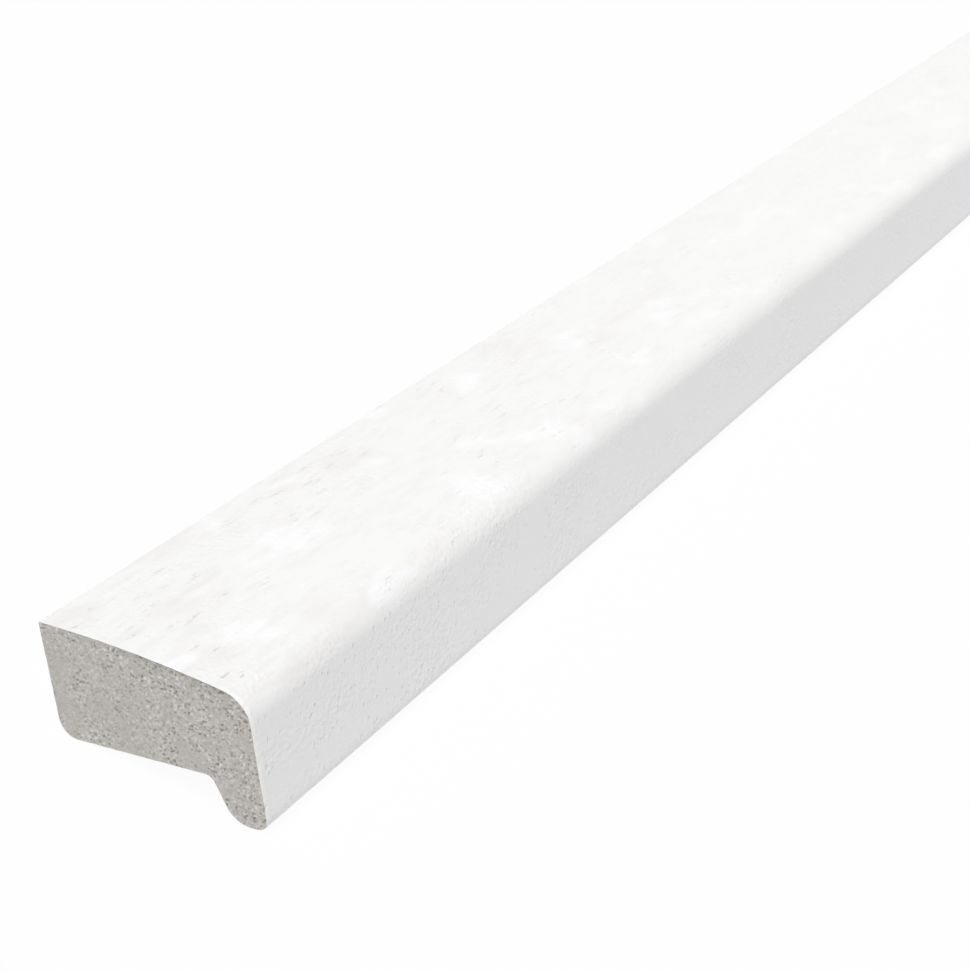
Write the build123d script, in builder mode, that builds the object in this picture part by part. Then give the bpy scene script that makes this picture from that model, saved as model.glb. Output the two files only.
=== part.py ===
"""Nosing trim: one machined hardwood bar, with a sloping crowned top, a round nose and a hanging drip lip.

The section is drawn square to its underside and its back face: x runs from the back face to the nose,
y runs up, and (0, 0) is where the underside and the back face would meet before the heel is rounded.
The bar lies along X with its nose towards -Y. It is shown as it lies loose on a level floor, tipped
back on to its heel and the tip of its lip.
"""

import os
from math import asin, atan2, cos, degrees, hypot, radians, sin, tan

from build123d import *

# Driving dimensions, in millimetres and degrees
length = 2400.0
depth = 40.0  # back face to front face
back_height = 20.6  # underside to the top of the back face
front_height = 15.0  # underside to where the top would meet the front face
top_crown = 0.9  # rise of the top above the straight line between its two edges
lip_thickness = 9.6  # front face to where the lip's inner face would meet the underside
lip_drop = 7.8  # underside to the tip of the lip
lip_lean = 21.5  # slope of the lip's inner face from square, degrees
back_arris_radius = 0.3
heel_radius = 3.4
lip_root_radius = 1.8
lip_inner_radius = 4.4
lip_front_radius = 2.2
nose_radius = 5.3

# Corners of the section, before they are rounded
seat_depth = depth - lip_thickness
back_top = (0, back_height)
heel = (0, 0)
lip_root = (seat_depth, 0)
lip_inner = (seat_depth + lip_drop * tan(radians(lip_lean)), -lip_drop)
lip_front = (depth, -lip_drop)
nose = (depth, front_height)

corner_radii = [
    (back_top, back_arris_radius),
    (heel, heel_radius),
    (lip_root, lip_root_radius),
    (lip_inner, lip_inner_radius),
    (lip_front, lip_front_radius),
    (nose, nose_radius),
]

with BuildSketch() as section:
    with BuildLine():
        Polyline(back_top, heel, lip_root, lip_inner, lip_front, nose)
        SagittaArc(back_top, nose, top_crown)
    make_face()
    for corner, radius in corner_radii:
        fillet(section.vertices().sort_by_distance(corner)[0], radius)

# Resting tilt: the line that touches both the heel and the lip from below becomes level
lip_turn = 90 - lip_lean
lip_centre_x = lip_inner[0] + lip_inner_radius * tan(radians(lip_turn / 2))
lip_centre_y = lip_inner_radius - lip_drop
span = lip_centre_x - heel_radius
fall = heel_radius - lip_centre_y
rest_tilt = atan2(fall, span) + asin((lip_inner_radius - heel_radius) / hypot(span, fall))

# The tilted section is set down on the floor, with its nose towards -Y and its middle over the origin
lying = section.sketch.rotate(Axis.Z, degrees(rest_tilt)).bounding_box()
rest_plane = Plane(
    origin=(0, lying.center().X, -lying.min.Y),
    x_dir=(0, -cos(rest_tilt), sin(rest_tilt)),
    z_dir=(-1, 0, 0),
)

with BuildPart() as nosing_trim:
    with BuildSketch(rest_plane):
        add(section.sketch)
    extrude(amount=length / 2, both=True)

nosing_trim.part.label = "nosing_trim"

os.makedirs("parts", exist_ok=True)
export_step(nosing_trim.part, "parts/nosing_trim.step")

print(f"rest tilt {degrees(rest_tilt):.3f} degrees, section {section.sketch.area:.2f} mm2")
print(f"plane origin {rest_plane.origin}, box {nosing_trim.part.bounding_box()}")
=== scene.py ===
"""A length of white-primed hardwood nosing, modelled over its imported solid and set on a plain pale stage.

Run as a script, it registers its operators, calls them in order and leaves the finished scene.
"""

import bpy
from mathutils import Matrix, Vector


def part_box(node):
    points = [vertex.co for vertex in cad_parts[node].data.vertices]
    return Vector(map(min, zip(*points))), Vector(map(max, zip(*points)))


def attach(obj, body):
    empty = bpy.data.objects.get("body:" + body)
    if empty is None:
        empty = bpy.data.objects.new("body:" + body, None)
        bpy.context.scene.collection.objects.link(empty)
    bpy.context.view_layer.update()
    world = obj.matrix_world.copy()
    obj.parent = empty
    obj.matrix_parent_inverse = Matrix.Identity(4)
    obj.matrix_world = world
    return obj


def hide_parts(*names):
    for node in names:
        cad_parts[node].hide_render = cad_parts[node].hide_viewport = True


bl_info = {
    "name": "Primed nosing bar",
    "version": (1, 0, 0),
    "blender": (4, 5, 0),
    "location": "View3D > Sidebar > Nosing",
    "description": "Models a white-primed hardwood nosing with sawn ends, and a plain stage to show it on",
    "category": "Object",
}

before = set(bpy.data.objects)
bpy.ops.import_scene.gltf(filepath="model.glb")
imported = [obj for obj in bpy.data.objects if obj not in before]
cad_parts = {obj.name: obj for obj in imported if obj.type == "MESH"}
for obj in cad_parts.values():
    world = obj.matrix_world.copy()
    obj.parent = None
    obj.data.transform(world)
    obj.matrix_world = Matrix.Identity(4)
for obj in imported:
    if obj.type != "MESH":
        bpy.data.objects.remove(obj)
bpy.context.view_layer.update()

from math import asin, atan2, ceil, cos, exp, radians, sin, sqrt, tan
from typing import NamedTuple

import bmesh
import bpy
from bpy.props import FloatProperty, FloatVectorProperty, IntProperty, PointerProperty
from mathutils import Matrix, Vector, noise

NODE = "nosing_trim"
MM = 0.001

CAD_LOW, CAD_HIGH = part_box(NODE)


# Properties


def size(name, description, millimetres):
    """A length, given in millimetres and kept in metres."""
    return FloatProperty(
        name=name,
        description=description,
        default=millimetres * MM,
        min=0.0,
        precision=5,
        unit="LENGTH",
    )


def share(name, description, default):
    """A number from 0 to 1."""
    return FloatProperty(
        name=name, description=description, default=default, min=0.0, max=1.0, subtype="FACTOR"
    )


def angle(name, description, degrees):
    """An angle, given in degrees."""
    return FloatProperty(
        name=name, description=description, default=radians(degrees), subtype="ANGLE"
    )


def colour(name, description, default):
    """A linear colour, about as it renders."""
    return FloatVectorProperty(
        name=name, description=description, default=default, min=0.0, max=1.0, subtype="COLOR"
    )


def turn(name, description, degrees):
    """A turn about X, Y and Z, given in degrees."""
    return FloatVectorProperty(
        name=name,
        description=description,
        default=[radians(part) for part in degrees],
        subtype="EULER",
    )


class NOSING_PG_section(bpy.types.PropertyGroup):
    """Sizes of the machined section, the same as the solid's."""

    depth: size("Depth", "Back face to front face", 40.0)
    back_height: size("Back height", "Underside to the top of the back face", 20.6)
    front_height: size("Front height", "Underside to where the top would meet the front", 15.0)
    top_crown: size("Top crown", "Rise of the top above a straight line", 0.9)
    lip_thickness: size("Lip thickness", "Front face to the lip's inner face, at its root", 9.6)
    lip_drop: size("Lip drop", "Underside to the tip of the lip", 7.8)
    lip_lean: angle("Lip lean", "Slope of the lip's inner face from square", 21.5)
    back_arris_radius: size("Back arris", "Round of the back top edge", 0.3)
    heel_radius: size("Heel", "Round of the back bottom edge", 3.4)
    lip_root_radius: size("Lip root", "Round where the lip leaves the underside", 1.8)
    lip_inner_radius: size("Lip inner edge", "Round of the lip's inner edge", 4.4)
    lip_front_radius: size("Lip front edge", "Round of the lip's front edge", 2.2)
    nose_radius: size("Nose", "Round between the top and the front", 5.3)


class NOSING_PG_bar(bpy.types.PropertyGroup):
    """How finely the bar is modelled, and how rough its sawn ends are."""

    round_step: size("Round step", "Length of one straight along a round", 0.45)
    flat_step: size("Flat step", "Length of one straight along a flat or the crown", 1.2)
    band_count: IntProperty(
        name="Bands", description="Lengths that the bar is unrolled in on its map", default=12, min=1
    )
    band_steps: IntProperty(
        name="Steps in a band", description="Rings of faces in each of those lengths", default=12, min=1
    )
    end_rim: size("End rim", "Width of the rim that frames a sawn end", 0.2)
    end_cell: size("End cell", "Width of one face on a sawn end", 0.17)
    saw_slant: angle("Saw slant", "Direction in which the saw has drawn the fibre of an end", 40.0)
    pore_spacing: size("Pore spacing", "Distance between the pores of a sawn end", 0.36)
    pore_depth: size("Pore depth", "Depth of an open pore in a sawn end", 0.16)
    fibre_depth: size("Fibre depth", "Depth of the torn fibre between the pores", 0.06)
    arris_width: size("Arris width", "Length of the side that the saw has broken at an end", 0.5)
    arris_wear: size("Arris wear", "Most that the saw has broken off an end's edges", 0.17)


class NOSING_PG_finish(bpy.types.PropertyGroup):
    """Colours and grain of the primer and of the sawn ends, with the shade and highlights painted into
    them.
    """

    primer: colour("Primer", "Matt white primer", (0.945, 0.948, 0.93))
    # painted shade: a cooler, slightly darker copy of the primer for the front side
    shaded_front_primer: colour("Front primer", "Primer on the planed front", (0.938, 0.937, 0.938))
    # thick primer colour, also used for painted light along the bottom and a painted highlight beside the
    # pores
    thick_primer_and_painted_light: colour("Thick primer", "Primer where it has pooled", (0.985, 0.985, 0.992))
    primer_thin: colour("Thin primer", "Primer where the wood has drawn it in", (0.918, 0.9, 0.889))
    # primed pore colour: painted shade in the sunk pores, and the real mottle
    primer_pore_shade_and_mottle: colour("Primed pore", "Bottom of a pore under the primer", (0.69, 0.68, 0.66))
    # painted highlight: a paler primer colour along the front edges at the sawn ends
    painted_edge_highlight: colour("Primer edge", "Primer broken by the saw at the ends", (0.97, 0.962, 0.94))
    primer_roughness: share("Primer roughness", "Roughness of the primer", 0.52)
    thin_roughness: share("Thin roughness", "Roughness of the primer where it is thin", 0.66)
    primer_shine: share("Primer shine", "Specular level of the primer", 0.3)
    pore_length: size("Pore length", "Distance between pores along the bar", 9.0)
    pore_width: size("Pore width", "Distance between pores across the bar", 1.1)
    pore_depth: size("Pore depth", "Depth of a pore under the primer", 0.09)
    # painted shade: how dark the colour of a sunk pore is painted, on the top and on the front
    pore_painted_shade: share("Pore darkness", "How dark a pore is, except on the front", 0.22)
    front_pore_painted_shade: share("Front pore darkness", "How dark a pore is on the front", 0.11)
    mottle_dark: share("Mottle darkness", "How dark the mottle is, except on the front", 0.09)
    bead_length: size("Bead length", "Length of the beads that the primer leaves along a pore", 0.9)
    peel_depth: size("Peel depth", "Depth of the skin that the primer's roller leaves", 0.4)
    peel: share("Peel", "Strength of that skin, except on the front", 0.6)
    front_peel: share("Front peel", "Strength of that skin on the front", 0.7)
    front_edge: size("Front edge", "Distance of the front's upper edge from the middle", 17.0)
    # painted light: height up to which the bottom of the bar is painted paler
    painted_light_height: size("Lip edge", "Height up to which the primer has run together along the lip", 3.0)
    end_reach: size("End reach", "Distance from an end over which the primer lies less evenly", 250.0)
    end_wood: colour("End wood", "Sawn end grain", (0.558, 0.525, 0.501))
    end_olive: colour("Olive end wood", "Sawn end grain where it is greener", (0.534, 0.521, 0.474))
    # the end pore colour is also used for the painted shade along the end's edge under the top
    end_pore_and_shade: colour("End pore", "Open pore of the sawn end", (0.162, 0.153, 0.138))
    end_fleck: colour("End fleck", "Pale torn fibre of the sawn end", (0.84, 0.82, 0.8))
    pore_cover: share("Pore cover", "How much of its colour an open pore shows", 0.8)
    fleck_cover: share("Fleck cover", "How much of its colour the torn fibre shows", 0.95)
    # painted shade: how dark the shade painted along the end's edge under the top is
    painted_top_shade_cover: share("Burn cover", "How far the saw has darkened the edge under the top", 0.35)
    grit_depth: size("Grit depth", "Depth of the grit that the saw leaves on an end", 0.06)
    grit: share("Grit", "Strength of that grit", 0.3)
    end_roughness: share("End roughness", "Roughness of the sawn ends", 0.85)
    end_shine: share("End shine", "Specular level of the sawn ends", 0.15)


class NOSING_PG_stage(bpy.types.PropertyGroup):
    """Floor, light and camera."""

    floor_width: FloatProperty(
        name="Floor", description="Width of the floor", default=30.0, unit="LENGTH"
    )
    floor_colour: colour("Floor colour", "Pale plain floor", (0.82, 0.82, 0.82))
    floor_glow: share("Floor glow", "Share of plain white in the floor that the camera sees", 0.95)
    sun_strength: FloatProperty(name="Sun", description="Strength of the high lamp", default=1.97)
    sun_width: angle("Sun width", "Width of the high lamp in the sky", 30.0)
    sun_turn: turn("Sun turn", "Turn of the high lamp from straight down", (3.0, -20.0, 0.0))
    sky_strength: FloatProperty(name="Sky", description="Light from all round", default=0.42)
    camera_place: FloatVectorProperty(
        name="Camera place",
        description="Where the camera stands",
        default=(-1.376882, -0.145352, 0.189459),
        subtype="TRANSLATION",
    )
    camera_turn: turn(
        "Camera turn", "Turn of the camera from straight down", (59.6489, -5.8759, -58.8114)
    )
    lens: FloatProperty(
        name="Lens", description="Focal length in millimetres on film 36 mm wide", default=69.178
    )


# Section outline: u runs from the back face to the front, v runs up from the underside


def round_corner(before, corner, after, radius):
    """Start, centre and end of the arc that rounds a straight corner."""
    back = (before - corner).normalized()
    ahead = (after - corner).normalized()
    half = back.angle(ahead) / 2
    run = radius / tan(half)
    centre = corner + (back + ahead).normalized() * (radius / sin(half))
    return corner + back * run, centre, corner + ahead * run


def crown_circle(sizes):
    """Centre and radius of the crowned top."""
    back_top = Vector((0, sizes.back_height))
    nose = Vector((sizes.depth, sizes.front_height))
    chord = nose - back_top
    radius = chord.length_squared / (8 * sizes.top_crown) + sizes.top_crown / 2
    upward = Vector((-chord.y, chord.x)).normalized()
    return (back_top + nose) / 2 + upward * (sizes.top_crown - radius), radius


def round_under_crown(crown, crown_radius, across, radius):
    """Centre of a round that touches the crown from inside, and the point where it does."""
    reach = crown_radius - radius
    centre = Vector((across, crown.y + sqrt(reach**2 - (across - crown.x) ** 2)))
    return centre, crown + (centre - crown).normalized() * crown_radius


def section_arcs(sizes):
    """Start, centre and end of each round, in order from the heel by way of the lip and the nose."""
    seat_depth = sizes.depth - sizes.lip_thickness
    back_top = Vector((0, sizes.back_height))
    heel = Vector((0, 0))
    lip_root = Vector((seat_depth, 0))
    lip_inner = Vector((seat_depth + sizes.lip_drop * tan(sizes.lip_lean), -sizes.lip_drop))
    lip_front = Vector((sizes.depth, -sizes.lip_drop))
    nose = Vector((sizes.depth, sizes.front_height))
    crown, crown_radius = crown_circle(sizes)
    nose_centre, nose_touch = round_under_crown(
        crown, crown_radius, sizes.depth - sizes.nose_radius, sizes.nose_radius
    )
    arris_centre, arris_touch = round_under_crown(
        crown, crown_radius, sizes.back_arris_radius, sizes.back_arris_radius
    )
    return {
        "heel": round_corner(back_top, heel, lip_root, sizes.heel_radius),
        "lip_root": round_corner(heel, lip_root, lip_inner, sizes.lip_root_radius),
        "lip_inner": round_corner(lip_root, lip_inner, lip_front, sizes.lip_inner_radius),
        "lip_front": round_corner(lip_inner, lip_front, nose, sizes.lip_front_radius),
        "nose": (Vector((sizes.depth, nose_centre.y)), nose_centre, nose_touch),
        "crown": (nose_touch, crown, arris_touch),
        "back_arris": (arris_touch, arris_centre, Vector((0, arris_centre.y))),
    }


def rest_place(sizes, arcs):
    """Matrix that lays the section's (u, v, w) on the floor, on its heel and lip, with w back along X."""
    heel = arcs["heel"][1]
    lip = arcs["lip_inner"][1]
    across = lip - heel
    rise = sizes.lip_inner_radius - sizes.heel_radius
    tilt = asin(rise / across.length) - atan2(across.y, across.x)
    sideways = Vector((-cos(tilt), sin(tilt)))
    upward = Vector((sin(tilt), cos(tilt)))
    front = sideways.dot(arcs["lip_front"][1]) - sizes.lip_front_radius
    back = sideways.dot(arcs["back_arris"][1]) + sizes.back_arris_radius
    lowest = upward.dot(heel) - sizes.heel_radius
    return Matrix(
        (
            (0, 0, -1, CAD_LOW.x),
            (sideways.x, sideways.y, 0, -(front + back) / 2),
            (upward.x, upward.y, 0, -lowest),
            (0, 0, 0, 1),
        )
    )


# Modelling, with the near end at w = 0 and the far end at w = -length

LEAST_STEPS = 4  # straights in the smallest round
WELD_GAP = 0.01 * MM  # points of the section that are this close become one
CUT_GAP = 0.001 * MM  # a cut across an end that passes this close to a point goes through it
CLOSE_RINGS = (1, 2, 5, 12)  # rings near each end, in arris widths from it
END_FINISH = 1  # which of the bar's materials its sawn ends have
# the third mark is painted shade along the end's edge under the top
MARKS = ("pore", "fleck", "painted_top_shade")  # what each point of a sawn end is marked with
END_SEEDS = (11, 47)  # so that the near and the far end differ
ARRIS_SLOPE = 3  # how much further an arris is broken across the end than along the bar


def of_kind(items, kind):
    """The vertices, edges or faces among a result's items."""
    return [item for item in items if isinstance(item, kind)]


def draw_arc(bm, arc, step):
    """Spin a vertex into an arc."""
    start, centre, end = arc
    out = start - centre
    back = end - centre
    sweep = atan2(out.cross(back), out.dot(back))
    bmesh.ops.spin(
        bm,
        geom=[bm.verts.new((start.x, start.y, 0))],
        cent=(centre.x, centre.y, 0),
        axis=(0, 0, 1),
        angle=sweep,
        steps=max(LEAST_STEPS, ceil(abs(sweep) * out.length / step)),
    )


def draw_straight(bm, start, end, step):
    """Subdivide an edge into a straight run."""
    edge = bm.edges.new([bm.verts.new((point.x, point.y, 0)) for point in (start, end)])
    bmesh.ops.subdivide_edges(bm, edges=[edge], cuts=ceil((end - start).length / step))


def draw_section(bm, arcs, bar):
    """One face in the shape of the section."""
    for name, arc in arcs.items():
        draw_arc(bm, arc, bar.flat_step if name == "crown" else bar.round_step)
    rounds = list(arcs.values())
    for (_, _, leave), (arrive, _, _) in zip(rounds, rounds[1:] + rounds[:1]):
        if (arrive - leave).length > bar.round_step:
            draw_straight(bm, leave, arrive, bar.flat_step)
    bmesh.ops.remove_doubles(bm, verts=bm.verts[:], dist=WELD_GAP)
    return bmesh.ops.edgeloop_fill(bm, edges=bm.edges[:])["faces"][0]


def measure_outline(bm, face, start):
    """Mark each vertex of the section with its distance round from a start. Gives the whole way round."""
    around = bm.verts.layers.float.new("around")
    loop = list(face.verts)
    first = min(range(len(loop)), key=lambda number: (loop[number].co - start).length)
    loop = loop[first:] + loop[:first]
    gone = 0.0
    for vert, after in zip(loop, loop[1:] + loop[:1]):
        vert[around] = gone
        gone += (after.co - vert.co).length
    return gone


def bar_stations(length, bar):
    """Distances along the bar at which its sides have a ring: close together at the ends, then even."""
    close = [count * bar.arris_width for count in CLOSE_RINGS]
    steps = bar.band_count * bar.band_steps
    even = [length * step / steps for step in range(1, steps)]
    return close + even + [length - near for near in reversed(close)] + [length]


def stretch_sides(bm, face, stations):
    """Extrude the section's outline along the bar, ring by ring, and fill the far end."""
    ring = list(face.edges)
    gone = 0.0
    for station in stations:
        made = bmesh.ops.extrude_edge_only(bm, edges=ring)["geom"]
        verts = of_kind(made, bmesh.types.BMVert)
        moved = set(verts)
        ring = [edge for edge in of_kind(made, bmesh.types.BMEdge) if moved.issuperset(edge.verts)]
        bmesh.ops.translate(bm, vec=(0, 0, gone - station), verts=verts)
        gone = station
    return bmesh.ops.edgeloop_fill(bm, edges=ring)["faces"][0]


def clamp(value):
    """A value kept from 0 to 1."""
    return max(0.0, min(1.0, value))


class EndGrain:
    """Pores, torn fibre, painted shade along the edge under the top, and wear at any place on a sawn end.
    """

    DRAWN_OUT = 2.1  # how much longer than wide the saw has drawn the pores and fibre

    # How open the grain is, from 0 to 1
    OPEN_BACK = 0.46
    OPEN_FRONT = 0.36  # added from the back to the front
    OPEN_TOP = 0.45  # added at the top
    OPEN_DEPTH = 2.5 * MM  # depth under the top in which that falls off
    PATCH_WIDTH = 4 * MM
    PATCH_SHARE = 0.9  # how far the patches differ from the rest

    # Pores, in pore spacings
    LEAST_PORE = 0.1
    PORE_RANGE = 0.34  # what the largest pore has on top of the least
    PORE_WALL = 0.2
    PORE_EDGE = 0.4  # how open a pore is at its own width
    PORE_MIX = 7.3  # spreads the pores' widths

    # Torn fibre, with heights from about -1 to 1
    FIBRE_HEIGHT = 1.6
    FIBRE_SCALE = 1.5  # strands in a pore spacing
    FIBRE_LEVEL = 0.5  # fibre this high is as high as the saw left it

    # Painted shade along the edge under the top, with places as a share of the depth from the back
    PAINTED_TOP_SHADE_START = 0.3
    PAINTED_TOP_SHADE_RUN = 0.25
    PAINTED_TOP_SHADE_MEAN = 0.7
    PAINTED_TOP_SHADE_SPREAD = 0.6
    PAINTED_TOP_SHADE_SCALE = 0.4
    PAINTED_TOP_SHADE_DEPTH = 0.9 * MM

    # Wear of the arris, with places as a share of the depth from the back
    WEAR_START = 0.75
    WEAR_RUN = 0.2
    WEAR_BACK = 0.25
    WEAR_FRONT = 0.5  # added from the back to the front
    WEAR_SCALE = 0.5

    def __init__(self, sizes, bar, seed):
        self.depth = sizes.depth
        self.crown, self.crown_radius = crown_circle(sizes)
        self.bar = bar
        self.seed = seed

    def drawn(self, place):
        """The place in pore spacings, shortened in the direction in which the saw has drawn the fibre."""
        slant = self.bar.saw_slant
        spacing = self.bar.pore_spacing
        along = place.x * cos(slant) + place.y * sin(slant)
        across = place.y * cos(slant) - place.x * sin(slant)
        return Vector((along / self.DRAWN_OUT, across, self.seed * spacing)) / spacing

    def under_top(self, place):
        """Distance below the crowned top."""
        return self.crown_radius - (place.to_2d() - self.crown).length

    def forward(self, place, start, run):
        """0 at the back, and 1 once the place is a run past the start."""
        return clamp((place.x / self.depth - start) / run)

    def openness(self, place):
        """How open the grain is: close by the heel, open by the nose, lip and top, and in patches."""
        spot = Vector((place.x, place.y, 0)) / self.PATCH_WIDTH + Vector((0, 0, self.seed))
        patchy = 1 + self.PATCH_SHARE * noise.noise(spot)
        by_top = self.OPEN_TOP * exp(-self.under_top(place) / self.OPEN_DEPTH)
        graded = self.OPEN_BACK + self.OPEN_FRONT * place.x / self.depth + by_top
        return clamp(patchy * graded)

    def pore(self, place):
        """1 in the middle of an open pore, 0 between the pores."""
        distances, points = noise.voronoi(self.drawn(place))
        width = self.LEAST_PORE + self.PORE_RANGE * abs(noise.cell(points[0] * self.PORE_MIX))
        return clamp((width - distances[0]) / self.PORE_WALL + self.PORE_EDGE)

    def fibre(self, place):
        """Height of the torn fibre."""
        return self.FIBRE_HEIGHT * noise.noise(self.drawn(place) * self.FIBRE_SCALE)

    def painted_top_shade(self, place):
        """1 where shade is painted along the edge under the top, towards the front."""
        forward = self.forward(place, self.PAINTED_TOP_SHADE_START, self.PAINTED_TOP_SHADE_RUN)
        uneven = self.PAINTED_TOP_SHADE_MEAN + self.PAINTED_TOP_SHADE_SPREAD * noise.noise(self.drawn(place) * self.PAINTED_TOP_SHADE_SCALE)
        return clamp(forward * uneven * exp(-self.under_top(place) / self.PAINTED_TOP_SHADE_DEPTH))

    def wear(self, place):
        """Share of the most wear that the arris has, more of it towards the front."""
        forward = self.forward(place, self.WEAR_START, self.WEAR_RUN)
        uneven = 1 + noise.noise(self.drawn(place) * self.WEAR_SCALE)
        return clamp((self.WEAR_BACK + self.WEAR_FRONT * forward) * uneven)


def rim_end(bm, face, width):
    """Frame a sawn end with a rim. Gives the rim, and for each vertex of the arris the place it faces."""
    sides = {side for edge in face.edges for side in edge.link_faces if side is not face}
    rim = bmesh.ops.inset_region(bm, faces=[face], thickness=width, use_even_offset=True)["faces"]
    arris = {}
    for edge in {edge for item in rim for edge in item.edges}:
        outer = [vert for vert in edge.verts if sides.intersection(vert.link_faces)]
        if len(outer) == 2:
            edge.smooth = False
        elif len(outer) == 1:
            arris[outer[0]] = edge.other_vert(outer[0]).co.copy()
    return rim, arris


def cut_cells(bm, face, cell):
    """Cut a flat face into square cells and give them."""
    low = [min(vert.co[axis] for vert in face.verts) for axis in (0, 1)]
    high = [max(vert.co[axis] for vert in face.verts) for axis in (0, 1)]
    geom = [face, *face.edges, *face.verts]
    for axis in (0, 1):
        normal = Vector((0, 0, 0))
        normal[axis] = 1
        for cut in range(1, ceil((high[axis] - low[axis]) / cell)):
            place = normal * (low[axis] + cut * cell)
            geom = bmesh.ops.bisect_plane(
                bm, geom=geom, plane_co=place, plane_no=normal, dist=CUT_GAP
            )["geom"]
    return of_kind(geom, bmesh.types.BMFace)


def roughen_end(bm, verts, arris, inward, grain, bar):
    """Mark a sawn end with its pores, flecks and painted shade under the top, and sink its pores and fibre
    inside the arris.
    """
    pore_mark, fleck_mark, painted_top_shade_mark = [bm.verts.layers.float[mark] for mark in MARKS]
    for vert in verts:
        openness = grain.openness(vert.co)
        pore = openness * grain.pore(vert.co)
        fibre = openness * grain.fibre(vert.co)
        vert[pore_mark] = pore
        vert[fleck_mark] = clamp(fibre)
        vert[painted_top_shade_mark] = grain.painted_top_shade(vert.co)
        if vert not in arris:
            torn = clamp(grain.FIBRE_LEVEL - fibre)
            vert.co.z += inward * (pore * bar.pore_depth + torn * bar.fibre_depth)


def break_arris(arris, level, inward, grain, bar):
    """Move the vertices of an end's arris inwards, as far as the saw has broken it off."""
    for vert, toward in arris.items():
        wear = bar.arris_wear * grain.wear(vert.co)
        vert.co += (toward - vert.co).normalized() * wear
        vert.co.z = level + inward * wear / ARRIS_SLOPE


def model_end(bm, face, inward, grain, bar):
    """Rim a sawn end, cut it into cells, sink its pores and break its arris. Gives its faces."""
    level = face.calc_center_median().z
    rim, arris = rim_end(bm, face, bar.end_rim)
    faces = rim + cut_cells(bm, face, bar.end_cell)
    roughen_end(bm, {vert for item in faces for vert in item.verts}, arris, inward, grain, bar)
    break_arris(arris, level, inward, grain, bar)
    for item in faces:
        item.material_index = END_FINISH
    return faces


# Map of the bar: its sides in bands, three to a row, and its two ends in the strip above them

MAP_NAME = "OFBake"
MAP_COLUMNS = 3  # bands in a row
MAP_GAP = 0.006  # free strip round each band and each end
MAP_END_LEFTS = (MAP_GAP, 0.5)  # where the near and the far end start


class MapPlan(NamedTuple):
    """Lengths on the bar and on its map."""

    perimeter: float  # way round the section
    band: float  # length of one band on the bar
    scale: float  # from the sides to the map
    row_height: float
    end_bottom: float  # where the strip with the two ends starts
    end_scale: float  # from the ends to the map


def plan_map(perimeter, length, bar, sizes):
    """Scale the bands to the map's width, and the ends to the strip that is left above them."""
    band = length / bar.band_count
    scale = (1 - MAP_GAP * (MAP_COLUMNS + 1)) / (MAP_COLUMNS * band)
    row_height = perimeter * scale + MAP_GAP
    end_bottom = MAP_GAP + ceil(bar.band_count / MAP_COLUMNS) * row_height
    end_height = sizes.back_height + sizes.top_crown + sizes.lip_drop
    end_scale = (1 - MAP_GAP - end_bottom) / end_height
    return MapPlan(perimeter, band, scale, row_height, end_bottom, end_scale)


def map_end(uv, faces, plan, left, lip_drop):
    """Lay a sawn end on the map."""
    for face in faces:
        for loop in face.loops:
            place = loop.vert.co
            loop[uv].uv = (
                left + place.x * plan.end_scale,
                plan.end_bottom + (place.y + lip_drop) * plan.end_scale,
            )


def map_side(uv, around, face, plan, number):
    """Lay a face of the sides on the map, in the band with a number."""
    left = MAP_GAP + (number % MAP_COLUMNS) * (plan.band * plan.scale + MAP_GAP)
    bottom = MAP_GAP + (number // MAP_COLUMNS) * plan.row_height
    closing = max(vert[around] for vert in face.verts) > plan.perimeter / 2
    for loop in face.loops:
        along = -loop.vert.co.z - number * plan.band
        reach = loop.vert[around]
        if closing and reach == 0:
            reach = plan.perimeter
        loop[uv].uv = (left + along * plan.scale, bottom + reach * plan.scale)


def unroll(bm, ends, perimeter, length, bar, sizes):
    """Lay the whole bar on its map."""
    uv = bm.loops.layers.uv.new(MAP_NAME)
    around = bm.verts.layers.float["around"]
    plan = plan_map(perimeter, length, bar, sizes)
    for faces, left in zip(ends, MAP_END_LEFTS):
        map_end(uv, faces, plan, left, sizes.lip_drop)
    for face in bm.faces:
        if face.material_index != END_FINISH:
            number = min(int(-face.calc_center_median().z / plan.band), bar.band_count - 1)
            map_side(uv, around, face, plan, number)


# The bar


def order_faces(bm):
    """Put the faces in order of their places, because extruding leaves them in a new order on each run."""
    in_order = sorted(bm.faces, key=lambda face: tuple(face.calc_center_median()))
    for number, face in enumerate(in_order):
        face.index = number
    bm.faces.sort()


def shape_bar(sizes, bar, length):
    """Mesh of the bar, lying on the floor."""
    arcs = section_arcs(sizes)
    bm = bmesh.new()
    for mark in MARKS:
        bm.verts.layers.float.new(mark)
    near = draw_section(bm, arcs, bar)
    perimeter = measure_outline(bm, near, arcs["heel"][0].to_3d())
    far = stretch_sides(bm, near, bar_stations(length, bar))
    ends = [
        model_end(bm, face, inward, EndGrain(sizes, bar, seed), bar)
        for face, inward, seed in zip((near, far), (-1, 1), END_SEEDS)
    ]
    unroll(bm, ends, perimeter, length, bar, sizes)
    for face in bm.faces:
        face.smooth = True
    bmesh.ops.transform(bm, matrix=rest_place(sizes, arcs), verts=bm.verts[:])
    bmesh.ops.recalc_face_normals(bm, faces=bm.faces[:])
    order_faces(bm)
    mesh = bpy.data.meshes.new("nosing_bar")
    bm.to_mesh(mesh)
    bm.free()
    return mesh


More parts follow.
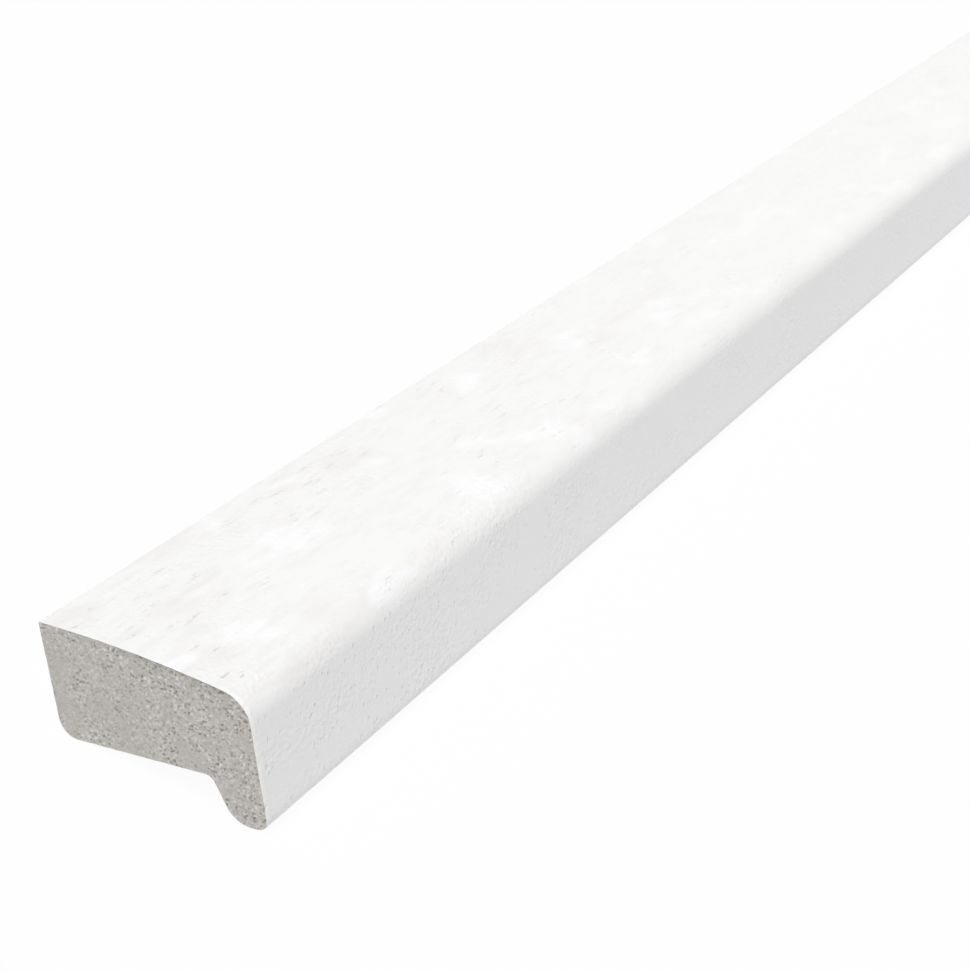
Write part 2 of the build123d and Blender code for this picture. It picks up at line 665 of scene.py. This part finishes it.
class NOSING_OT_model_bar(bpy.types.Operator):
    """Model the primed bar with its two sawn ends, in place of its plain solid"""

    bl_idname = "nosing.model_bar"
    bl_label = "Model the bar"

    def execute(self, context):
        scene = context.scene
        length = CAD_HIGH.x - CAD_LOW.x
        mesh = shape_bar(scene.nosing_section, scene.nosing_bar, length)
        mesh.materials.append(primer_material(scene.nosing_finish, scene.nosing_bar, length))
        mesh.materials.append(end_material(scene.nosing_finish))
        piece = bpy.data.objects.new("nosing_bar", mesh)
        scene.collection.objects.link(piece)
        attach(piece, "root")
        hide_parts(NODE)
        return {"FINISHED"}


# Shader nodes


def feed(tree, socket, value):
    """Give a socket a link or a value."""
    if isinstance(value, bpy.types.NodeSocket):
        tree.links.new(value, socket)
    else:
        socket.default_value = value


def node(tree, kind, settings=None, **inputs):
    """Add a shader node. An input named here takes a link or a value, with _ for a space."""
    made = tree.nodes.new("ShaderNode" + kind)
    for name, value in (settings or {}).items():
        setattr(made, name, value)
    for name, value in inputs.items():
        feed(tree, made.inputs[name.replace("_", " ")], value)
    return made


def calculate(tree, operation, *values, kind="Math"):
    """Result of a math node of a kind."""
    made = node(tree, kind, {"operation": operation})
    for socket, value in zip(made.inputs, values):
        feed(tree, socket, value)
    return made.outputs[0]


def times(tree, first, second):
    """Product of two numbers."""
    return calculate(tree, "MULTIPLY", first, second)


def calculate_place(tree, operation, *values):
    """Result of a math node that works on coordinates."""
    return calculate(tree, operation, *values, kind="VectorMath")


def fade(tree, value, low, high, bottom=0.0, top=1.0):
    """Result of a smooth step of a value from low to high."""
    made = node(
        tree,
        "MapRange",
        {"interpolation_type": "SMOOTHSTEP"},
        Value=value,
        From_Min=low,
        From_Max=high,
        To_Min=bottom,
        To_Max=top,
    )
    return made.outputs[0]


# Sockets of a Mix node for each kind of value: the factor, the two values and the result
MIX_SOCKETS = {"FLOAT": (0, 2, 3, 0), "RGBA": (0, 6, 7, 2)}


def mix(tree, kind, *values):
    """Result of a mix node, from a factor and the values that it lies between."""
    made = node(tree, "Mix", {"data_type": kind})
    *inputs, result = MIX_SOCKETS[kind]
    for number, value in zip(inputs, values):
        feed(tree, made.inputs[number], value)
    return made.outputs[result]


def blend(tree, factor, first, second):
    """Colour between two colours."""
    return mix(tree, "RGBA", factor, first, second)


def between(tree, factor, first, second):
    """Number between two numbers."""
    return mix(tree, "FLOAT", factor, first, second)


def rgba(values):
    """A property's colour with full cover."""
    return (*values, 1.0)


def new_material(name):
    """A material with its tree, its shader, and coordinates in metres."""
    material = bpy.data.materials.new(name)
    material.use_nodes = True
    tree = material.node_tree
    shader = tree.nodes["Principled BSDF"]
    place = node(tree, "TexCoord").outputs["Object"]
    return material, tree, shader, place


class Clouds(NamedTuple):
    """Soft noise on the bar."""

    along: float  # length of a cloud along the bar
    across: float  # and its width
    shift: float  # keeps two kinds of clouds apart
    detail: float
    low: float = 0.0  # noise at which a cloud starts
    high: float = 1.0  # noise at which it is full


def stretched(tree, place, along, across, shift):
    """Coordinates that count in steps of a size along the bar and another across it."""
    scale = (1 / along, 1 / across, 1 / across)
    return node(tree, "Mapping", Vector=place, Scale=scale, Location=(shift, shift, shift)).outputs[0]


def clouds(tree, place, kind):
    """Noise node for a kind of clouds."""
    steps = stretched(tree, place, kind.along, kind.across, kind.shift)
    return node(tree, "TexNoise", Vector=steps, Scale=1.0, Detail=kind.detail)


def cloud_cover(tree, place, kind, bottom=0.0, top=1.0):
    """Bottom between the clouds of a kind, top inside them."""
    return fade(tree, clouds(tree, place, kind).outputs["Fac"], kind.low, kind.high, bottom, top)


# Pores under the primer


class Streaks(NamedTuple):
    """Streaks that the pores of the wood leave in the primer."""

    along: float  # distance between them along the bar
    across: float
    shift: float  # keeps two kinds of streaks apart
    aside: tuple  # from the raised primer, which carries a painted highlight, to the streak that it lies beside


STREAK_REACH = (0.2, 0.46)  # half length of the shortest and of the longest, in distances between them
STREAK_CORE = 0.1  # share of that within which a streak is deepest
STREAK_RISE = 0.5  # cover beyond its chance at which a streak is as deep as it gets
BEAD_WIDTH = 0.8  # in bead lengths
TOP_ASIDE = 0.5  # in pore widths
FRONT_ASIDE = 0.3
FRONT_LENGTH = 1.3  # distances between the front's short pores, in pore widths
FRONT_WIDTH = 1.1


def pore_streaks(tree, place, kind, cover):
    """Short streaks along the bar, of uneven length, on a share of the places where they could be."""
    steps = stretched(tree, place, kind.along, kind.across, kind.shift)
    cells = node(tree, "TexVoronoi", Vector=steps, Scale=1.0)
    chance = node(tree, "SeparateColor", Color=cells.outputs["Color"]).outputs
    reach = fade(tree, chance["Green"], 0.0, 1.0, *STREAK_REACH)
    streak = fade(tree, calculate(tree, "DIVIDE", cells.outputs["Distance"], reach), 1.0, STREAK_CORE)
    shown = fade(tree, calculate(tree, "SUBTRACT", cover, chance["Red"]), 0.0, STREAK_RISE)
    return times(tree, streak, shown)


def beaded_streaks(tree, place, kind, cover, bead):
    """Streaks that the primer has broken into beads."""
    beads = Clouds(bead, BEAD_WIDTH * bead, shift=41.0, detail=0.0, low=0.38, high=0.58)
    return times(tree, pore_streaks(tree, place, kind, cover), cloud_cover(tree, place, beads))


def paired_streaks(tree, place, kind, cover, bead):
    """Streaks that are sunk, and the primer raised beside each of them, which the colour gives painted
    shade and a painted highlight.
    """
    beside = calculate_place(tree, "ADD", place, kind.aside)
    return [beaded_streaks(tree, start, kind, cover, bead) for start in (place, beside)]


# Primer

STRAY = Clouds(14 * MM, 9 * MM, shift=3.0, detail=1.0)
STRAY_WIDTH = 3 * MM  # how far the top's streaks stray sideways
PORE_PATCHES = Clouds(22 * MM, 9 * MM, shift=0.0, detail=2.0, low=0.32, high=0.6)
PORE_COVER = 1.3  # cover of the pores inside those patches
FRONT_COVER = 0.45  # cover of the front's pores between those patches
THICK = Clouds(17 * MM, 10 * MM, shift=5.0, detail=2.0, low=0.54, high=0.7)
THIN = Clouds(20 * MM, 11 * MM, shift=9.0, detail=4.0, low=0.46, high=0.76)
MOTTLE = Clouds(6 * MM, 1.8 * MM, shift=21.0, detail=3.0, low=0.44, high=0.7)
PEEL = Clouds(0.9 * MM, 0.9 * MM, shift=0.0, detail=1.0)
PEEL_PATCHES = Clouds(16 * MM, 9 * MM, shift=13.0, detail=3.0, low=0.36, high=0.7)
PEEL_LEAST = 0.15  # strength of the peel between those patches
EVEN = 0.55  # strength of the primer's marks along the middle of the bar
UNEVEN = 1.5  # and at its ends
FRONT_FADE = 2 * MM  # width in which the top's primer turns into the front's
PAINTED_LIGHT_FULL = 3  # at the painted light's height divided by this, the painted light along the bottom is full
HIGHLIGHT_START = 0.75  # where the painted highlight along the sawn front edges starts, as a share of the front edge
RAISED = 0.6  # height of the raised primer over the depth of a pore


class PrimerPlaces(NamedTuple):
    """Coordinates on the bar, and how far each zone of its primer holds there, from 0 to 1."""

    place: bpy.types.NodeSocket
    stray: bpy.types.NodeSocket  # coordinates that stray sideways, so that streaks aren't ruled lines
    front: bpy.types.NodeSocket
    uneven: bpy.types.NodeSocket  # strength of the marks, from EVEN to UNEVEN
    painted_low_light: bpy.types.NodeSocket
    edge_highlight: bpy.types.NodeSocket


def primer_places(tree, place, finish, bar, length):
    """Zones of the primer: the front, the less even ends, painted light along the bottom, and a painted
    highlight along the front edges at the sawn ends.
    """
    parts = node(tree, "SeparateXYZ", Vector=place).outputs
    reach = calculate(tree, "ABSOLUTE", parts["X"])
    half = length / 2
    front_edge = finish.front_edge
    stray = clouds(tree, place, STRAY).outputs["Color"]
    sawn = fade(tree, reach, half - 2 * bar.arris_width, half - bar.arris_width)
    forward = fade(tree, parts["Y"], -HIGHLIGHT_START * front_edge, -front_edge)
    return PrimerPlaces(
        place=place,
        stray=calculate_place(tree, "MULTIPLY_ADD", stray, (0, STRAY_WIDTH, STRAY_WIDTH), place),
        front=fade(tree, parts["Y"], -front_edge, -front_edge - FRONT_FADE),
        uneven=fade(tree, reach, half - finish.end_reach, half, EVEN, UNEVEN),
        # painted light: paler primer along the bottom, near the floor
        painted_low_light=fade(tree, parts["Z"], finish.painted_light_height, finish.painted_light_height / PAINTED_LIGHT_FULL),
        # painted highlight: along the front edges by the sawn ends
        edge_highlight=times(tree, sawn, forward),
    )


def primer_pores(tree, primer, finish):
    """Pores sunk in the primer, and the primer raised beside them: bumps, and masks for their painted shade
    and painted highlight.
    """
    wide = finish.pore_width
    bead = finish.bead_length
    top_pores = Streaks(
        finish.pore_length, wide, shift=17.0, aside=(0, TOP_ASIDE * wide, TOP_ASIDE * wide)
    )
    front_pores = Streaks(
        FRONT_LENGTH * wide, FRONT_WIDTH * wide, shift=31.0, aside=(FRONT_ASIDE * wide, 0, 0)
    )
    top_cover = cloud_cover(tree, primer.place, PORE_PATCHES, 0.0, PORE_COVER)
    front_cover = cloud_cover(tree, primer.place, PORE_PATCHES, FRONT_COVER, PORE_COVER)
    on_top = paired_streaks(tree, primer.stray, top_pores, top_cover, bead)
    on_front = paired_streaks(tree, primer.place, front_pores, front_cover, bead)
    return [
        times(tree, primer.uneven, between(tree, primer.front, *pair)) for pair in zip(on_top, on_front)
    ]


def primer_tint(tree, primer, finish, thin, sunk_and_shaded, raised_and_highlit):
    """Colour of the primer: white, with thin and thick patches, a painted-shade copy on the front, painted
    shade in the pores, a painted highlight beside them, mottle, painted light along the bottom and a
    painted highlight along the sawn front edges.
    """
    thick = cloud_cover(tree, primer.place, THICK)
    mottle = cloud_cover(tree, primer.stray, MOTTLE)
    tint = rgba(finish.primer)
    tint = blend(tree, times(tree, thin, primer.uneven), tint, rgba(finish.primer_thin))
    tint = blend(tree, times(tree, thick, primer.uneven), tint, rgba(finish.thick_primer_and_painted_light))
    # painted shade: the front side takes the cooler, slightly darker copy of the primer
    tint = blend(tree, primer.front, tint, rgba(finish.shaded_front_primer))
    # painted light: paler primer along the bottom near the floor, and a painted highlight on the primer
    # raised beside the pores
    tint = blend(tree, calculate(tree, "MAXIMUM", raised_and_highlit, primer.painted_low_light), tint, rgba(finish.thick_primer_and_painted_light))
    pore_painted_shade = between(tree, primer.front, finish.pore_painted_shade, finish.front_pore_painted_shade)
    mottle_dark = between(tree, primer.front, finish.mottle_dark, 0.0)
    # painted shade: darker colour in the sunk pores, beside the real mottle
    pore_shade = times(tree, sunk_and_shaded, pore_painted_shade)
    mottle_shade = times(tree, times(tree, mottle, primer.uneven), mottle_dark)
    pore_shade_and_mottle = calculate(tree, "MAXIMUM", pore_shade, mottle_shade)
    tint = blend(tree, pore_shade_and_mottle, tint, rgba(finish.primer_pore_shade_and_mottle))
    # painted highlight: paler primer along the front edges at the sawn ends
    return blend(tree, primer.edge_highlight, tint, rgba(finish.painted_edge_highlight))


def primer_relief(tree, primer, finish, sunk_and_shaded, raised_and_highlit):
    """Normal of the primer: its pores, and the skin that its roller leaves in patches."""
    height = calculate(tree, "SUBTRACT", times(tree, raised_and_highlit, RAISED), sunk_and_shaded)
    pitted = node(tree, "Bump", Height=height, Strength=1.0, Distance=finish.pore_depth).outputs[0]
    peel = clouds(tree, primer.place, PEEL).outputs["Fac"]
    patches = cloud_cover(tree, primer.place, PEEL_PATCHES, PEEL_LEAST)
    strength = times(tree, patches, between(tree, primer.front, finish.peel, finish.front_peel))
    skin = node(
        tree, "Bump", Height=peel, Strength=strength, Distance=finish.peel_depth, Normal=pitted
    )
    return skin.outputs[0]


def primer_material(finish, bar, length):
    """Matt white primer, thin enough to show the pores of the wood as faint marks along the bar, with shade
    and highlights painted into its colour.
    """
    material, tree, shader, place = new_material("white_primer")
    primer = primer_places(tree, place, finish, bar, length)
    thin = cloud_cover(tree, place, THIN)
    sunk_and_shaded, raised_and_highlit = primer_pores(tree, primer, finish)
    roughness = fade(tree, thin, 0.0, 1.0, finish.primer_roughness, finish.thin_roughness)
    feed(tree, shader.inputs["Base Color"], primer_tint(tree, primer, finish, thin, sunk_and_shaded, raised_and_highlit))
    feed(tree, shader.inputs["Roughness"], roughness)
    feed(tree, shader.inputs["Normal"], primer_relief(tree, primer, finish, sunk_and_shaded, raised_and_highlit))
    shader.inputs["Specular IOR Level"].default_value = finish.primer_shine
    return material


# Sawn ends

OLIVE = Clouds(3 * MM, 3 * MM, shift=0.0, detail=2.0, low=0.38, high=0.62)
GRIT = Clouds(0.25 * MM, 0.25 * MM, shift=4.0, detail=2.0)


def end_material(finish):
    """Bare sawn end grain: dark open pores and pale torn fibre in a warm grey, with painted shade along the
    edge under the top.
    """
    material, tree, shader, place = new_material("sawn_end_grain")
    pore, fleck, painted_top_shade = [
        node(tree, "Attribute", {"attribute_name": mark}).outputs["Fac"] for mark in MARKS
    ]
    tint = blend(tree, cloud_cover(tree, place, OLIVE), rgba(finish.end_wood), rgba(finish.end_olive))
    tint = blend(tree, times(tree, fleck, finish.fleck_cover), tint, rgba(finish.end_fleck))
    tint = blend(tree, times(tree, pore, finish.pore_cover), tint, rgba(finish.end_pore_and_shade))
    # painted shade: darkens the end along the edge under the top, in the end pore colour
    tint = blend(tree, times(tree, painted_top_shade, finish.painted_top_shade_cover), tint, rgba(finish.end_pore_and_shade))
    grit = clouds(tree, place, GRIT).outputs["Fac"]
    bump = node(tree, "Bump", Height=grit, Strength=finish.grit, Distance=finish.grit_depth)
    feed(tree, shader.inputs["Base Color"], tint)
    feed(tree, shader.inputs["Normal"], bump.outputs[0])
    shader.inputs["Roughness"].default_value = finish.end_roughness
    shader.inputs["Specular IOR Level"].default_value = finish.end_shine
    return material


# Stage

WHITE = (1, 1, 1, 1)
FILM_WIDTH = 36.0
NEAREST_SEEN = 10 * MM


def seen_plainly(tree):
    """1 for the rays that show a background: from the camera, a gloss or a clear thing."""
    path = node(tree, "LightPath").outputs
    glossy = calculate(tree, "MAXIMUM", path["Is Camera Ray"], path["Is Glossy Ray"])
    return calculate(tree, "MAXIMUM", glossy, path["Is Transmission Ray"])


def floor_material(stage):
    """Pale floor that takes the bar's shadow, lifted towards white where it is seen plainly."""
    material = bpy.data.materials.new("studio_floor")
    material.use_nodes = True
    tree = material.node_tree
    tree.nodes.remove(tree.nodes["Principled BSDF"])
    paint = node(tree, "BsdfDiffuse", Color=rgba(stage.floor_colour))
    glow = node(tree, "Emission", Color=WHITE, Strength=1.0)
    lift = times(tree, seen_plainly(tree), stage.floor_glow)
    mixed = node(tree, "MixShader", Fac=lift)
    feed(tree, mixed.inputs[1], paint.outputs[0])
    feed(tree, mixed.inputs[2], glow.outputs[0])
    feed(tree, tree.nodes["Material Output"].inputs["Surface"], mixed.outputs[0])
    return material


def lay_floor(scene, stage):
    """A wide plain floor under the bar."""
    bm = bmesh.new()
    bmesh.ops.create_grid(bm, x_segments=1, y_segments=1, size=stage.floor_width / 2)
    mesh = bpy.data.meshes.new("studio_floor")
    bm.to_mesh(mesh)
    bm.free()
    mesh.materials.append(floor_material(stage))
    floor = bpy.data.objects.new("studio_floor", mesh)
    scene.collection.objects.link(floor)


def light_world(scene, stage):
    """Even light from all round, white where it is seen plainly."""
    world = bpy.data.worlds.new("studio_sky")
    scene.world = world
    world.use_nodes = True
    tree = world.node_tree
    sky = tree.nodes["Background"]
    sky.inputs["Color"].default_value = WHITE
    strength = fade(tree, seen_plainly(tree), 0.0, 1.0, stage.sky_strength, 1.0)
    feed(tree, sky.inputs["Strength"], strength)


def hang_lamp(scene, stage):
    """One wide soft lamp, high above the bar."""
    lamp = bpy.data.lights.new("high_lamp", "SUN")
    lamp.energy = stage.sun_strength
    lamp.angle = stage.sun_width
    high_lamp = bpy.data.objects.new("high_lamp", lamp)
    high_lamp.rotation_euler = stage.sun_turn
    scene.collection.objects.link(high_lamp)


def set_camera(scene, stage):
    """The camera at the photograph's angle."""
    lens = bpy.data.cameras.new("camera")
    lens.sensor_fit = "HORIZONTAL"
    lens.sensor_width = FILM_WIDTH
    lens.lens = stage.lens
    lens.clip_start = NEAREST_SEEN
    camera = bpy.data.objects.new("camera", lens)
    camera.location = stage.camera_place
    camera.rotation_euler = stage.camera_turn
    scene.collection.objects.link(camera)
    scene.camera = camera


class NOSING_OT_set_stage(bpy.types.Operator):
    """Lay the floor, light it and set up the camera"""

    bl_idname = "nosing.set_stage"
    bl_label = "Set the stage"

    def execute(self, context):
        scene = context.scene
        stage = scene.nosing_stage
        scene.view_settings.view_transform = "Standard"
        lay_floor(scene, stage)
        light_world(scene, stage)
        hang_lamp(scene, stage)
        set_camera(scene, stage)
        return {"FINISHED"}


# Add-on


class NOSING_PT_panel(bpy.types.Panel):
    """Sizes, finishes and stage of the nosing bar"""

    bl_idname = "NOSING_PT_panel"
    bl_label = "Nosing"
    bl_space_type = "VIEW_3D"
    bl_region_type = "UI"
    bl_category = "Nosing"

    def draw(self, context):
        layout = self.layout
        layout.operator(NOSING_OT_model_bar.bl_idname)
        layout.operator(NOSING_OT_set_stage.bl_idname)
        for name in GROUPS:
            group = getattr(context.scene, name)
            box = layout.box()
            for setting in group.bl_rna.properties.keys():
                if setting not in ("rna_type", "name"):
                    box.prop(group, setting)


GROUPS = {
    "nosing_section": NOSING_PG_section,
    "nosing_bar": NOSING_PG_bar,
    "nosing_finish": NOSING_PG_finish,
    "nosing_stage": NOSING_PG_stage,
}
CLASSES = (*GROUPS.values(), NOSING_OT_model_bar, NOSING_OT_set_stage, NOSING_PT_panel)


def register():
    """Register the classes and give the scene its settings."""
    for item in CLASSES:
        bpy.utils.register_class(item)
    for name, group in GROUPS.items():
        setattr(bpy.types.Scene, name, PointerProperty(type=group))


def unregister():
    """Take the settings and the classes away again."""
    for name in GROUPS:
        delattr(bpy.types.Scene, name)
    for item in reversed(CLASSES):
        bpy.utils.unregister_class(item)


def main():
    """Register the add-on, model the bar and set the stage."""
    register()
    bpy.ops.nosing.model_bar()
    bpy.ops.nosing.set_stage()


if __name__ == "__main__":
    main()
